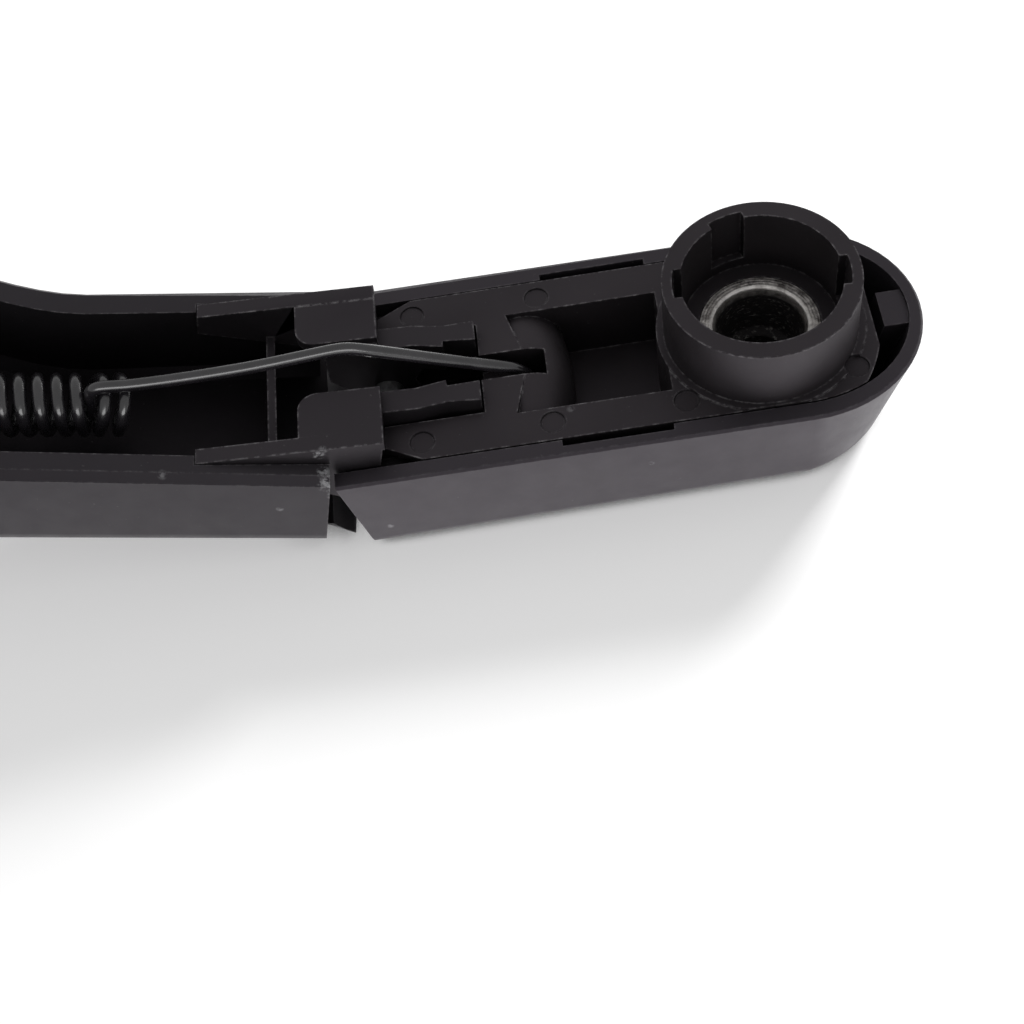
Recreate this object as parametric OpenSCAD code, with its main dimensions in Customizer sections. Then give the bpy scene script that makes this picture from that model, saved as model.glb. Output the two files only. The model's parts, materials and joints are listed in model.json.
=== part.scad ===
// Rear wiper arm, underside up: the arm's channel, the mounting head that clamps on the
// spindle, the hinge between them, and the tension spring that pulls the arm onto the glass.
// Origin: spindle axis at the mouth face of the steel insert. +Z points out of the mouth.
// +X runs from the hinge to the rounded end of the head, and the arm reaches out along -X.

/* [Hub] */
// Inner diameter of the collar
collar_bore_d = 24.3; // [22.6:0.1:25]
// Thickness of the collar's wall
collar_wall = 2.85; // [2.4:0.05:3.2]
// Height of the collar above the insert's mouth face
collar_h = 11.3; // [8:0.1:16]
// Width of the low step round the collar's foot
step_w = 1.2; // [0.6:0.1:1.6]
// Width of each keyway inside the collar
key_w = 5.4; // [4:0.1:6.5]
// Depth of each keyway into the collar's wall
key_depth = 1.2; // [0.8:0.1:1.4]
// Height of the ledge that closes each keyway at its foot
key_ledge = 1.9; // [1:0.1:4]
// Outer diameter of the steel insert
insert_d = 18.86; // [17.6:0.02:20]
// Mouth diameter of the insert's taper
taper_mouth_d = 14.1; // [13:0.1:15]
// Foot diameter of the insert's taper
taper_foot_d = 11.6; // [10:0.1:12.4]
// Depth of the taper
taper_depth = 8.2; // [7:0.1:8.6]
// Diameter of the hole for the spindle's thread
thread_hole_d = 8.2; // [6:0.1:9]
// Thickness of the seat that the nut tightens on
seat_t = 2; // [1.6:0.1:2.2]
// Diameter of the pocket for the nut
nut_pocket_d = 21; // [20.5:0.5:23]

/* [Mounting head] */
// Distance of the head's deck below the insert's mouth face
deck_drop = 0.3; // [0:0.1:1]
// Height of the head's body
head_h = 14; // [13.4:0.1:14.4]
// Width of the deck past the collar on each side
hub_rim = 0.6; // [0.3:0.1:0.8]
// Width of the well between the rails
well_w = 19.3; // [18:0.1:21]
// Width between the rails on the arm's side of the cross block
fork_w = 17.2; // [16.9:0.1:18]
// Distance from the spindle axis to the head's flat end
head_reach = 17.1; // [16.4:0.1:17.6]
// Distance from the hinge axis to the cross block's far face
block_gap = 15.8; // [15.2:0.1:16.4]
// Length of the cross block along its top
block_len = 8; // [7:0.1:9]
// Radius of the cross block's barrel nose
drum_r = 7.4; // [6.8:0.1:7.6]
// Radius of the barrel's bulge across the well
drum_belly = 50; // [40:5:80]
// Thickness of the floor under the well
well_floor = 1.8; // [1.2:0.1:3]
// Width of the slot that takes the spring's wire
wire_slot_w = 4.8; // [4:0.1:5.6]

/* [Hinge] */
// Distance from the spindle axis to the hinge axis
hinge_reach = 60; // [59.4:0.1:60.6]
// Depth of the hinge axis below the insert's mouth face
hinge_drop = 8; // [7.6:0.1:8.4]
// Diameter of the hinge pin
pin_d = 5; // [4:0.1:6]
// Running clearance on the hinge pin's diameter
pin_fit = 0.08; // [0.04:0.02:0.2]
// Angle of the arm to the head with the spring at its stop
rest_tilt = 14.5; // [13:0.5:16]
// Radius of the eye round the hinge pin in each ear
eye_r = 5.2; // [4.6:0.1:5.4]
// Thickness of each outer ear
ear_t = 2.7; // [2:0.1:2.8]
// Side clearance between moving faces at the hinge
side_gap = 0.3; // [0.2:0.05:0.4]

/* [Head cover] */
// Gap between the head's sides and the cover's walls
cover_play = 0.2; // [0.1:0.05:0.4]
// Thickness of the cover's side walls
cover_wall = 2.9; // [2.7:0.1:3.1]
// Thickness of the cover's wall at its round end
cover_end_wall = 2.1; // [1.6:0.1:2.6]
// Gap between the head's foot and the cover's floor
foot_gap = 0.45; // [0.3:0.05:0.8]
// Crown of the cover's back
cover_crown = 0.5; // [0.2:0.1:0.8]
// Thickness of the cover's back
cover_back = 1.8; // [1.4:0.1:2]
// Distance from the spindle axis to the tip of the round end
cover_reach = 25; // [24.4:0.1:26]
// Length of the end's curve along X
cover_curve = 20; // [18:0.5:22]
// Distance from the hinge axis to the cover's open end at the rim
cover_past = 8.2; // [7.6:0.1:8.4]
// Lean of the open end's edge from the vertical
cover_lean = 9.3; // [6:0.1:12]
// Width of the latch block in the round end
latch_w = 6.7; // [5:0.1:8]
// Distance from the spindle axis to the far end of the grips in the cover's walls
grip_reach = 33; // [28:0.5:38]
// Length of the grips in the cover's walls
grip_len = 17; // [10:0.5:22]

/* [Arm] */
// Gap between the cover's open end and the end of the arm's walls
end_gap = 2.4; // [2.2:0.1:3.2]
// Distance from the hinge axis to the arm's tip
arm_len = 224; // [200:1:260]
// Distance that the arm's walls stand out past the cover's sides
arm_proud = 0.2; // [0:0.1:0.5]
// Half width of the arm at its tip
tip_half = 9; // [8:0.1:11]
// Loss of half width for each millimetre next to the hinge
arm_taper = 0.034; // [0.02:0.002:0.05]
// Height of the rim above the hinge axis
rim_up = 7.6; // [7.2:0.1:8]
// Depth of the arm's back below the hinge axis
back_down = 7.5; // [7.2:0.1:8]
// Thickness of the arm's side walls
arm_wall = 4.4; // [3.4:0.1:4.8]
// Thickness of the arm's back
arm_back = 2; // [1.6:0.1:2.4]
// Gap between the back's lip and the cover's lower corner as it passes
lip_gap = 0.5; // [0.4:0.05:0.8]
// Sideways step of the arm beyond the spring
crank = 13; // [8:0.5:16]
// Distance from the hinge axis to where the far wall starts its step
far_bend = 47; // [44:1:54]
// Length of the far wall's step
far_bend_len = 45; // [36:1:60]
// Distance from the hinge axis to where the near wall starts its step
near_bend = 88; // [80:1:96]
// Length of the near wall's step
near_bend_len = 60; // [50:1:70]
// Distance from the hinge axis to the rib across the channel's floor
rib_reach = 19; // [17:0.5:24]
// Height of the rib above the hinge axis
rib_up = 0.3; // [0:0.1:0.6]
// Thickness of the rib
rib_t = 1.4; // [1:0.1:2]
// Chamfer along the rim's outer edge
rim_chamfer = 1.3; // [0.6:0.1:1.6]

/* [Hood over the hinge] */
// Slope of the hood plates to the arm
hood_tilt = 10.8; // [9:0.1:12]
// Height of the hood plates above the hinge axis
hood_up = 13.2; // [12.8:0.1:13.8]
// Thickness of the hood plates
hood_t = 1.8; // [1.4:0.1:2]
// Length of the hood plates
hood_len = 12.8; // [11.6:0.1:13.4]
// Width of the slot between the two hood plates
hood_slot = 9.5; // [8.4:0.1:10]
// Depth of the tongues' top below the hood plates' top
tongue_drop = 2.3; // [2:0.1:2.6]
// Height of the tongues' fingers
finger_h = 6; // [5:0.1:7]
// Depth of the ears' strips along the channel's walls at their far ends
strip_h = 4; // [3:0.1:5]
// Clearance between the hinge bracket and the arm
bracket_gap = 0.1; // [0.05:0.05:0.2]

/* [Spring] */
// Diameter of the spring's wire
wire_d = 2; // [1.6:0.1:2.4]
// Outer diameter of the coil
coil_d = 10.2; // [9.4:0.1:10.4]
// Pitch of the coil
coil_pitch = 2.8; // [2.6:0.05:2.9]
// Number of turns in the coil
coil_turns = 13; // [11:1:15]
// Distance from the hinge axis to the coil's near end
coil_start = 46; // [44:0.5:48]
// Height of the coil's axis above the hinge axis
coil_up = 1.6; // [1.2:0.1:2]
// Diameter of the post that holds the spring's loop
post_d = 6; // [5:0.1:7]

/* [Blade end] */
// Diameter of the blade's pin
blade_pin_d = 4; // [3:0.1:5]
// Distance from the arm's tip to the blade's pin
blade_pin_in = 8; // [6.5:0.1:10]
// Diameter of the pin's ends, which are moulded into the cheeks
blade_pin_end_d = 2.8; // [2:0.1:2.9]
// Gap between the two cheeks at the blade's pin
blade_gap = 10.4; // [9:0.1:11]
// Length of the fork's slot at the arm's tip
tip_slot = 25; // [20:0.5:28]
// Length of the solid stretch between the slot and the channel
tip_web = 7; // [5:0.5:10]

/* [Hidden] */
$fn = 96;
eps = 0.01;
cut = 60;                                   // reach of a cutting solid past what it cuts
black = "#2e2b2f";
deck_z = -deck_drop;
rim_drop = 0.05;                            // the cover's rim lies a hair below the deck
collar_d = collar_bore_d + 2 * collar_wall;
head_w = collar_d + 2 * hub_rim;
cover_w = head_w + 2 * (cover_play + cover_wall);
cover_h = head_h + foot_gap + cover_back - rim_drop;
arm_half = cover_w / 2 + arm_proud;
head_foot_z = deck_z - head_h;
rim_z = deck_z - rim_drop;
cover_foot_z = rim_z - cover_h;
cover_floor_z = cover_foot_z + cover_back;
hinge_x = -hinge_reach;
hinge_z = -hinge_drop;
half = head_w / 2;
block_reach = hinge_reach - block_gap;
cover_open = hinge_reach + cover_past;
arm_start = cover_past + end_gap;
// radius about the hinge axis that the cover's lower corner keeps inside as the arm swings back
foot_corner_r = norm([cover_past - (cover_h + cover_crown) * tan(cover_lean),
    cover_foot_z - cover_crown - hinge_z]);
lip_r = foot_corner_r + lip_gap;
lip_half = arm_half - arm_wall - 0.2;
bore_d = pin_d + pin_fit;
key_angles = [105, 174, -4];
insert_h = taper_depth + seat_t;
cover_in = half + cover_play;
end_x = cover_reach - cover_curve;          // where the cover's straight sides end
ear_out = half - 0.2;
ear_in = ear_out - ear_t;
rail_out = ear_in - side_gap;               // rails narrow to this between the ears
tongue_out = fork_w / 2 - side_gap - 0.15;
tongue_w = 4;
coil_r = (coil_d - wire_d) / 2;
coil_end = coil_start + coil_turns * coil_pitch;
loop_r = post_d / 2 + wire_d / 2 + 0.3;
post_x = -coil_end - loop_r - 4.5;
tip_pin_x = -arm_len + blade_pin_in;
hook_x = -block_reach + block_len;
lean = rest_tilt - hood_tilt;                  // between the head's deck and the hood's slope
finger_reach = (hinge_reach - block_reach - side_gap) * cos(lean) - (deck_z - hinge_z) * sin(lean);

// A soft step from 0 to 1 as t runs from 0 to 1
function soft(t) = let (u = min(1, max(0, t))) u * u * (3 - 2 * u);

// Plan of the round end shared by the cover and the head: straight sides and an elliptic end
function round_end(half_y, curve, back_x, steps = 30) = concat(
    [[back_x, -half_y]],
    [for (i = [0:steps]) let (a = -90 + 180 * i / steps) [end_x + curve * cos(a), half_y * sin(a)]],
    [[back_x, half_y]]);

// Closes a stack of rings into one solid. Each ring has the same number of points, and they
// run anticlockwise seen from the last ring back to the first.
module loft(rings) {
    n = len(rings[0]);
    sides = [for (k = [0:len(rings) - 2], i = [0:n - 1], h = [0:1])
        let (a = k * n + i, b = k * n + (i + 1) % n)
        h == 0 ? [a, b + n, b] : [a, a + n, b + n]];
    ends = [[for (i = [0:n - 1]) i], [for (i = [n - 1:-1:0]) (len(rings) - 1) * n + i]];
    polyhedron(points = [for (r = rings) for (p = r) p], faces = concat(sides, ends));
}

// Everything that belongs to the arm is drawn about the hinge axis and set in place by this
module on_arm() {
    translate([hinge_x, 0, hinge_z]) rotate([0, rest_tilt, 0]) children();
}

// A plate seen from the side: extrudes an X-Z outline between two places across the part
module side_plate(y0, y1) {
    translate([0, y1, 0]) rotate([90, 0, 0]) linear_extrude(y1 - y0) children();
}

// The same thing on the near side and the far side
module both_sides() {
    children();
    mirror([0, 1, 0]) children();
}

// A bar across the part, along Y
module cross_bar(d, length) {
    rotate([90, 0, 0]) cylinder(d = d, h = length, center = true);
}

/* Mounting head */

module collar() {
    translate([0, 0, head_foot_z]) cylinder(d = collar_d, h = collar_h - head_foot_z);
}

// Low step round the collar's foot, as wide as the rails allow
module collar_step() {
    linear_extrude(deck_drop) step_plan();
}

module step_plan() {
    intersection() {
        circle(r = collar_d / 2 + step_w);
        square([cut, 2 * half], center = true);
    }
}

module keyways() {
    reach = collar_bore_d / 2 + key_depth;
    intersection() {
        cylinder(r = reach, h = collar_h);
        for (a = key_angles) rotate(a) translate([0, -key_w / 2, 0]) cube([reach + 1, key_w, collar_h]);
    }
}

// Deck outline of the hub end, cut flat towards the latch and rounded at its two corners
module hub_plan() {
    corner_x = -5;
    step_plan();
    intersection() {
        polygon(round_end(half, cover_curve - cover_end_wall - 0.2, -collar_d / 2 - 0.2));
        translate([corner_x, 0]) circle(r = head_reach - corner_x + 1.1);
        translate([-cut, -cut]) square([cut + head_reach, 2 * cut]);
    }
}

module rail_plan() {
    taper_x = hinge_x + 5.6;
    polygon([[-collar_d / 2, half], [taper_x, half], [hinge_x - 0.5, rail_out],
             [hinge_x - 9, rail_out], [hinge_x - 9, fork_w / 2], [-block_reach, fork_w / 2],
             [-block_reach + 1, well_w / 2], [-collar_d / 2, well_w / 2]]);
}

// Side view of the rails: a straight beam that ends in a half round about the hinge axis
module rail_side() {
    translate([hinge_x, head_foot_z]) square([hinge_reach, head_h]);
    intersection() {
        translate([hinge_x, hinge_z]) circle(r = deck_z - hinge_z - 0.1);
        translate([hinge_x - head_h, head_foot_z]) square([2 * head_h, head_h]);
    }
}

// Room beside the rails for the ears' eyes to turn in, under the deck's bevelled corners
module ear_room() {
    roof = 1.4;
    translate([hinge_x - 20, rail_out, head_foot_z - 1])
        cube([20 + eye_r + 0.6, 10, head_h + 1 - roof]);
}

// Cross block that takes the spring's hook: its nose is a barrel across the well
module cross_block() {
    drum_x = -block_reach + block_len - 1;
    reach_y = well_w / 2 + 0.5;
    difference() {
        union() {
            translate([0, 0, head_foot_z]) linear_extrude(head_h)
                polygon([[-block_reach, -reach_y], [drum_x - 2.2, -reach_y], [drum_x, -2], [drum_x, 2],
                         [drum_x - 2.2, reach_y], [-block_reach, reach_y]]);
            intersection() {
                translate([drum_x, 0, deck_z - drum_r]) rotate([90, 0, 0]) rotate_extrude()
                    intersection() {
                        translate([drum_r - drum_belly, 0]) circle(r = drum_belly);
                        translate([0, -reach_y]) square([drum_r, 2 * reach_y]);
                    }
                translate([drum_x - cut, -cut, head_foot_z]) cube([2 * cut, 2 * cut, head_h]);
            }
            translate([drum_x - 3, -reach_y, head_foot_z]) cube([drum_r + 2, 2 * reach_y, head_h - drum_r]);
        }
        // way in for the wire, and the pocket behind it that its hook drops into
        translate([-block_reach - 1, -wire_slot_w / 2, deck_z - 4.6])
            cube([block_len, wire_slot_w, 10]);
        translate([hook_x - wire_d / 2 - side_gap, -wire_slot_w / 2, deck_z - 12])
            cube([wire_d + 1.6, wire_slot_w, 20]);
    }
}

module ejector_marks() {
    for (p = [[-34, -12.3], [-34, 12.3], [-54.3, -12.4], [-54.3, 12.4], [-13.4, -12], [12.9, -10.4]])
        translate([p[0], p[1], deck_z - 0.25]) cylinder(d = 3.8, h = 1);
}

module mounting_head() {
    color(black) difference() {
        union() {
            translate([0, 0, head_foot_z]) linear_extrude(head_h) hub_plan();
            collar();
            translate([0, 0, deck_z]) collar_step();
            intersection() {
                translate([0, 0, head_foot_z]) linear_extrude(head_h) both_sides_2d() rail_plan();
                side_plate(-half, half) rail_side();
            }
            cross_block();
            translate([-block_reach, -well_w / 2 - 1, head_foot_z])
                cube([block_reach - collar_d / 2 + 1, well_w + 2, well_floor]);
        }
        both_sides() ear_room();
        cylinder(d = collar_bore_d, h = collar_h + 1);
        translate([0, 0, key_ledge]) keyways();
        translate([0, 0, -insert_h]) cylinder(d = insert_d, h = insert_h + 1);
        translate([0, 0, head_foot_z - 1]) cylinder(d = nut_pocket_d, h = -head_foot_z - insert_h + 1);
        translate([hinge_x, 0, hinge_z]) cross_bar(pin_d, 3 * half);
        ejector_marks();
    }
}

module both_sides_2d() {
    children();
    mirror([0, 1]) children();
}

/* Steel insert that is moulded into the hub */

module hub_insert() {
    lip = 0.7;
    color("#8d8a86") difference() {
        translate([0, 0, -insert_h]) cylinder(d = insert_d, h = insert_h);
        translate([0, 0, -taper_depth])
            cylinder(d1 = taper_foot_d, d2 = taper_mouth_d, h = taper_depth + eps);
        translate([0, 0, -lip]) cylinder(d1 = taper_mouth_d - 0.2, d2 = taper_mouth_d + 2 * lip, h = lip + eps);
        translate([0, 0, -insert_h - 1]) cylinder(d = thread_hole_d, h = insert_h + 1);
    }
}

/* Head cover */

// One level of the cover's outside, drawn in from its full width by inset
function cover_ring(z, inset) = [for (p = round_end(cover_w / 2 - inset, cover_curve - inset,
    -cover_open - 4)) [p[0], p[1], z]];

module cover_shell() {
    edge = 2.2;
    loft(concat(
        [cover_ring(cover_foot_z - cover_crown, 9), cover_ring(cover_foot_z - 0.6 * cover_crown, 5)],
        [for (a = [0:22.5:90]) cover_ring(cover_foot_z + edge * (1 - cos(a)), edge * (1 - sin(a)))],
        [cover_ring(rim_z - 0.4, 0), cover_ring(rim_z, 0.4)]));
}

module cover_hollow() {
    translate([0, 0, cover_floor_z]) linear_extrude(cover_h + 5)
        polygon(round_end(cover_in, cover_curve - cover_end_wall, -cover_open - 5));
}

// The open end leans so that the arm can swing back past it
module cover_end_cut() {
    translate([-cover_open, 0, rim_z]) rotate([0, -cover_lean, 0])
        translate([-cut, -cut, -cut]) cube([cut, 2 * cut, cut + 10]);
}

module latch_block() {
    tip_x = cover_reach - cover_end_wall;
    translate([tip_x - 4.2, -latch_w / 2, cover_floor_z - 0.5]) cube([4.7, latch_w, rim_z - cover_floor_z]);
}

// Shallow grips in the inner faces that the rails' sides clear
module wall_recess() {
    translate([-grip_reach, cover_in - 1, rim_z - 5]) cube([grip_len, 2.1, 6]);
}

module head_cover() {
    color("#4a464a") difference() {
        union() {
            difference() {
                cover_shell();
                cover_hollow();
                both_sides() wall_recess();
            }
            latch_block();
        }
        cover_end_cut();
    }
}

/* Hinge pin */

module hinge_pin() {
    color("#77757a") translate([hinge_x, 0, hinge_z]) cross_bar(pin_d, 2 * ear_out);
}

/* Arm */

// Outside of the two walls and of the back along the arm, x measured from the hinge axis
function body_half(x) = let (d = -x - arm_start, near = arm_half - arm_taper * min(d, 60),
    t = soft((-x - 62) / (arm_len - 70))) near + (tip_half - near) * t;
function far_y(x) = body_half(x) + crank * soft((-x - far_bend) / far_bend_len);
function near_y(x) = -body_half(x) + crank * soft((-x - near_bend) / near_bend_len);
function rim_at(x) = rim_up - 2 * soft((-x - 90) / (arm_len - 90));
function back_at(x) = -back_down - 0.9 * soft(-x / 60) + 4 * soft((-x - 70) / (arm_len - 70));

// Outline of the arm's section at x, drawn in by inset, with a crowned back and soft edges
function arm_ring(x, inset = 0) =
    let (f = far_y(x) - inset, n = near_y(x) + inset, top = rim_at(x) - inset, foot = back_at(x) + inset,
         c = rim_chamfer, r = 2.4, m = (f + n) / 2, w = (f - n) / 2 - r)
    concat(
        [[f - c, top], [f, top - c]],
        [for (a = [0:30:90]) [f - r + r * cos(a), foot + r - r * sin(a)]],
        [for (s = [0.6, 0.2, -0.2, -0.6]) [m + s * w, foot - 0.8 * (1 - s * s)]],
        [for (a = [90:-30:0]) [n + r - r * cos(a), foot + r - r * sin(a)]],
        [[n, top - c], [n + c, top]]);

function on_x(x, ring) = [for (p = ring) [x, p[0], p[1]]];
arm_steps = 54;
arm_stations = [for (i = [0:arm_steps]) -arm_start - (arm_len - 12 - arm_start) * i / arm_steps];

module arm_body() {
    tip_r = 2.2;
    loft(concat(
        [for (x = arm_stations) on_x(x, arm_ring(x))],
        [for (a = [0:22.5:90]) on_x(-arm_len + tip_r * (1 - sin(a)),
            arm_ring(-arm_len + tip_r, tip_r * (1 - cos(a))))]));
}

// The channel that the spring lies in, open on the underside
function channel_ring(x) =
    let (f = far_y(x) - arm_wall * wall_share(x), n = near_y(x) + arm_wall * wall_share(x),
         foot = back_at(x) + arm_back, r = 1.6)
    [[f, rim_at(x) + 3], [f, foot + r], [f - r, foot], [n + r, foot], [n, foot + r], [n, rim_at(x) + 3]];
function wall_share(x) = 1 - 0.35 * soft((-x - 100) / 60);

module arm_channel() {
    end_x = -arm_len + tip_slot + tip_web;
    loft([for (x = concat([-arm_start + 1], arm_stations)) if (x > end_x) on_x(x, channel_ring(x))]);
}

// The back runs on past the walls as a lip that swings just outside the cover's lower corner
module back_lip() {
    difference() {
        intersection() {
            loft([on_x(-arm_start - 1, arm_ring(-arm_start - 1)), on_x(0, arm_ring(-arm_start))]);
            translate([-arm_start - 1, -lip_half, -cut])
                cube([arm_start + 1, 2 * lip_half, cut + back_at(-arm_start) + arm_back]);
        }
        cross_bar(2 * lip_r, 3 * half);
    }
}

// Open fork at the tip that the blade's pin crosses
module blade_fork() {
    mid = (far_y(tip_pin_x) + near_y(tip_pin_x)) / 2;
    translate([-arm_len - 5, mid - blade_gap / 2, back_at(tip_pin_x) + arm_back])
        cube([tip_slot + 5, blade_gap, cut]);
}

/* Hinge bracket: it lies in the arm's channel, with its ears let into the walls */

// Each outer ear: an eye on the hinge pin, a neck that clears the cover when the arm swings
// back, and a strip along the channel's wall that rises from the rim to the hood plate
module ear_side() {
    top_x = -2.8;
    neck = [-arm_start - 3, 0.5];
    side_a = atan2(neck[1], neck[0]) + acos(eye_r / norm(neck));
    in_r = eye_r - 0.3;                     // the neck's lower edge ends inside the eye
    slope = tan(hood_tilt);
    top_z = hood_up / cos(hood_tilt) + top_x * slope;
    rim_x = top_x - (top_z - rim_up) / slope;
    circle(r = eye_r);
    polygon([[top_x, 4], [top_x, top_z], [rim_x, rim_up], [rim_x, rim_up - strip_h], neck,
             [in_r * cos(side_a), in_r * sin(side_a)], [0, 0], [eye_r - 0.4, 0]]);
}

module ears() {
    both_sides() side_plate(ear_in, ear_out) ear_side();
}

// The hood plates and tongues share one slope
module on_hood() {
    rotate([0, -hood_tilt, 0]) children();
}

module hood_plates() {
    x1 = -0.3;
    corner = 3;
    on_hood() both_sides() translate([0, 0, hood_up - hood_t]) linear_extrude(hood_t)
        hull() {
            translate([x1 - 1, hood_slot / 2]) square([1, ear_out - hood_slot / 2]);
            translate([x1 - hood_len + corner, hood_slot / 2 + corner]) circle(r = corner, $fn = 32);
            translate([x1 - hood_len, ear_out - 1]) square(1);
        }
}

// Tongues inside the rails: eyes for the hinge pin, and fingers whose ends stop the arm
module tongue_plan() {
    inner = tongue_out - tongue_w;
    reach = finger_reach;
    barb = reach - 5.2;
    polygon([[-12.5, tongue_out], [5, tongue_out], [barb, tongue_out - 0.7], [reach, tongue_out - 0.4],
             [reach, inner - 0.1], [barb + 0.1, inner + 0.2], [barb, inner - 0.9], [5, inner],
             [-12.5, inner]]);
}

module tongue_side() {
    top = hood_up - tongue_drop;
    circle(r = eye_r);
    polygon([[-9, top + 1], [-9, top - 7], [-eye_r, 0], [eye_r - 0.6, 2], [6, top - finger_h],
             [finger_reach + 1, top - finger_h], [finger_reach + 1, top], [-0.5, top], [-0.5, top + 1]]);
}

module tongues() {
    on_hood() both_sides() intersection() {
        translate([0, 0, -eye_r - 1]) linear_extrude(hood_up + eye_r + 1) tongue_plan();
        side_plate(0, half) tongue_side();
    }
}

// Ties the two ears to each other and rests on the arm's rib
module bracket_tie() {
    height = 2.7;
    translate([-rib_reach - rib_t / 2, -ear_in - 0.5, rib_up]) cube([rib_t, 2 * ear_in + 1, height]);
}

module hinge_bracket() {
    color("#3a373b") on_arm() difference() {
        union() {
            ears();
            hood_plates();
            tongues();
            bracket_tie();
        }
        cross_bar(bore_d, 3 * half);
    }
}

// What the arm leaves out for the ears' strips
module bracket_room() {
    both_sides() side_plate(ear_in - 1, ear_out + bracket_gap) offset(delta = bracket_gap) ear_side();
}

// Across the channel's floor beside the hinge
module floor_rib() {
    x = -rib_reach;
    foot = back_at(x) + 1;
    translate([x - rib_t / 2, near_y(x) + arm_wall - 1, foot])
        cube([rib_t, far_y(x) - near_y(x) - 2 * arm_wall + 2, rib_up - foot]);
}

module spring_post() {
    foot = back_at(post_x) + 1;
    translate([post_x, 0, foot]) cylinder(d = post_d, h = coil_up + wire_d + 0.6 - foot);
    translate([post_x, 0, coil_up + wire_d / 2 + 0.3]) cylinder(d1 = post_d, d2 = post_d + 2.4, h = 1.2);
    translate([post_x, 0, foot]) cylinder(d = post_d + 5, h = coil_up - wire_d / 2 - 0.3 - foot);
}

module arm() {
    color("#3f3b40") on_arm() difference() {
        union() {
            difference() {
                arm_body();
                arm_channel();
                blade_fork();
            }
            back_lip();
            floor_rib();
            spring_post();
        }
        bracket_room();
        translate([tip_pin_x, (far_y(tip_pin_x) + near_y(tip_pin_x)) / 2, 0])
            cross_bar(blade_pin_end_d, far_y(tip_pin_x) - near_y(tip_pin_x) - 2);
    }
}

/* Blade pin */

module blade_pin() {
    mid = (far_y(tip_pin_x) + near_y(tip_pin_x)) / 2;
    color("#77757a") on_arm() translate([tip_pin_x, mid, 0]) {
        cross_bar(blade_pin_d, blade_gap);
        cross_bar(blade_pin_end_d, far_y(tip_pin_x) - near_y(tip_pin_x) - 2);
    }
}

/* Tension spring: a loop on the post, the coil, and the bent wire that hooks into the head */

// Centre of the wire, in the part's own frame for the stretch that reaches over the hinge
wire_over = [[-97, 8.35], [-91.5, 8.15], [-83.6, 8.25], [-74, 8.8], [-68, 9.3], [-65.5, 9.5], [-63.4, 9.4],
    [-61.5, 8.8], [-58.5, 7.4], [-52, 4.3], [-45, 1], [-40, -1.3], [-38, -2.3], [-36.9, -3.2],
    [hook_x, -4.6], [hook_x, -7], [hook_x, -10]];

function to_part(p) = [hinge_x + p[0] * cos(rest_tilt) + p[2] * sin(rest_tilt), p[1],
    hinge_z - p[0] * sin(rest_tilt) + p[2] * cos(rest_tilt)];
loop_points = [for (a = [50:20:310]) [post_x + loop_r * cos(a), loop_r * sin(a), coil_up]];
lead_points = [[-coil_end - 2.8, -0.6, coil_up + 1.2], [-coil_end - 1.2, 0.8, coil_up + 3.2]];
coil_steps = 14;
coil_points = [for (i = [0:coil_turns * coil_steps - 1]) let (a = 90 + 360 * i / coil_steps)
    [-coil_end + coil_pitch * i / coil_steps, coil_r * cos(a), coil_up + coil_r * sin(a)]];
coil_top = coil_up + coil_r;
bend_points = [[-coil_start + 0.3, 0.55, coil_top + 0.05], [-coil_start + 1.4, 0.05, coil_top + 0.25],
    [-coil_start + 3, 0, coil_top + 0.35]];
spring_path = concat([for (p = concat(loop_points, lead_points, coil_points, bend_points)) to_part(p)],
    [for (p = wire_over) [p[0], 0, p[1]]]);

function unit(v) = v / norm(v);
function tangent(path, i) = unit(path[min(i + 1, len(path) - 1)] - path[max(i - 1, 0)]);
// Carries the first side direction along the path without twist
function carried(path, i, side) = let (t = tangent(path, i)) unit(side - (side * t) * t);
function frames(path, i, side) = i == len(path) ? [] :
    let (s = carried(path, i, side)) concat([s], frames(path, i + 1, s));

module tension_spring() {
    sides = 8;
    across = frames(spring_path, 0, [0, 0, 1]);
    color("#101012") loft([for (i = [0:len(spring_path) - 1])
        let (t = tangent(spring_path, i), s = across[i], u = cross(t, s))
        [for (k = [0:sides - 1]) spring_path[i]
            + wire_d / 2 * (cos(360 * k / sides) * s + sin(360 * k / sides) * u)]]);
}

arm();
hinge_bracket();
mounting_head();
hub_insert();
head_cover();
hinge_pin();
tension_spring();
blade_pin();
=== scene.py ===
import json
import math

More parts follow.
